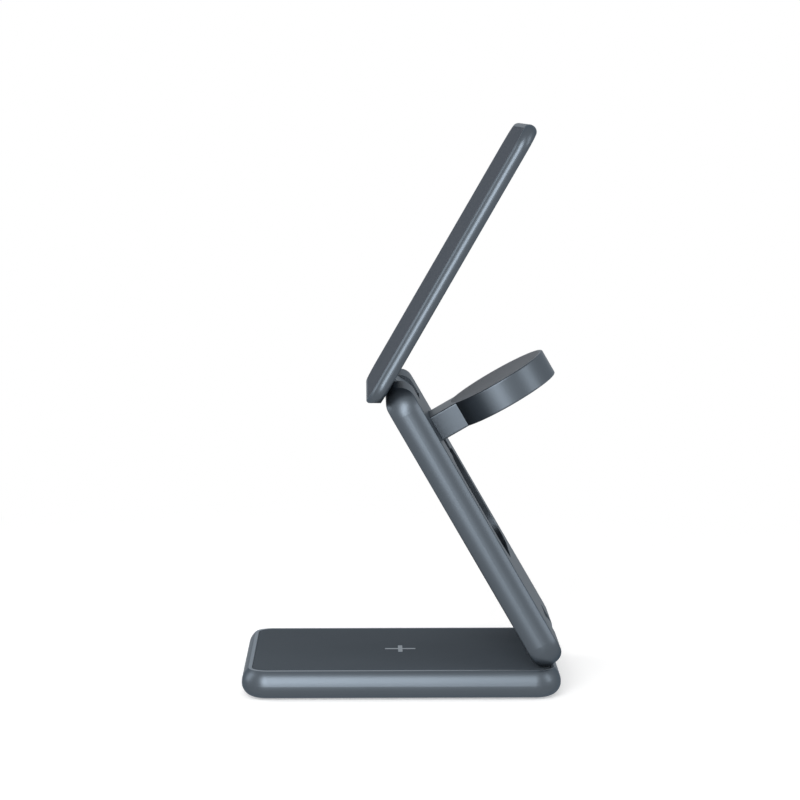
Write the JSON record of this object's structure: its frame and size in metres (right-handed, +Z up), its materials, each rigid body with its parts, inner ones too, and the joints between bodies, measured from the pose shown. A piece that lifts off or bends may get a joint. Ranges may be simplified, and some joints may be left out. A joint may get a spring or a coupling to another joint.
{
  "type": "three in one wireless charger",
  "caption": "Folding desk charger: flat earbud base, leaning middle panel, phone panel on friction hinges, and a round watch puck on a fold-out arm.",
  "frame": {"origin": "on the table under the middle of the base", "axes": "+X along the base towards its hinge end, +Y across the panels, +Z up"},
  "size_m": [0.086, 0.062, 0.1533],
  "materials": {
    "anodised_frame": "satin",
    "soft_touch_pad": "matte",
    "front_panel": "matte",
    "hinge_lug": "satin",
    "steel": "satin",
    "washer": "satin",
    "dark_plastic": "matte",
    "foot_rubber": "matte",
    "copper": "satin",
    "ferrite": "matte",
    "magnet": "plated",
    "circuit_board": "satin",
    "watch_face": "satin"
  },
  "bodies": {
    "base": {"base_frame": "anodised_frame", "base_top_pad": "soft_touch_pad", "base_bottom_cover": "dark_plastic", "base_foot_pad": "foot_rubber", "base_cover_screws": "steel", "base_circuit_board": "circuit_board", "earbud_coil": "copper", "earbud_coil_shield": "ferrite", "usb_socket_shell": "steel", "usb_socket_tongue": "dark_plastic", "lower_hinge_lug": "hinge_lug", "lower_hinge_lug_screws": "steel"},
    "middle_panel": {"mid_shell": "anodised_frame", "mid_front_panel": "front_panel", "mid_circuit_board": "circuit_board", "lower_hinge_pin": "steel", "lower_hinge_washers": "washer", "upper_hinge_pin": "steel", "upper_hinge_washers": "washer", "watch_hinge_pin": "steel"},
    "phone_panel": {"phone_frame": "anodised_frame", "phone_pad": "soft_touch_pad", "phone_coil": "copper", "phone_coil_shield": "ferrite", "phone_magnets": "magnet", "upper_hinge_lug": "hinge_lug", "upper_hinge_lug_screws": "steel"},
    "watch_arm": {"watch_housing": "anodised_frame", "watch_charging_face": "watch_face", "watch_coil": "copper", "watch_coil_shield": "ferrite", "watch_magnet": "magnet"}
  },
  "joints": [
    {"name": "lower_hinge", "type": "hinge", "parent": "base", "child": "middle_panel", "pos_m": [0.03875, 0, 0.0124], "axis": [0, -1, 0], "range_deg": [0, 60]},
    {"name": "upper_hinge", "type": "hinge", "parent": "middle_panel", "child": "phone_panel", "pos_m": [-0.00005, 0, 0.0796], "axis": [0, 1, 0], "range_deg": [0, 120]},
    {"name": "watch_hinge", "type": "hinge", "parent": "middle_panel", "child": "watch_arm", "pos_m": [0.0067, 0, 0.06861], "axis": [0, 1, 0], "range_deg": [0, 90]}
  ],
  "couplings": [
    {"joint": "watch_hinge", "follows": "upper_hinge", "ratio": 0.75}
  ]
}
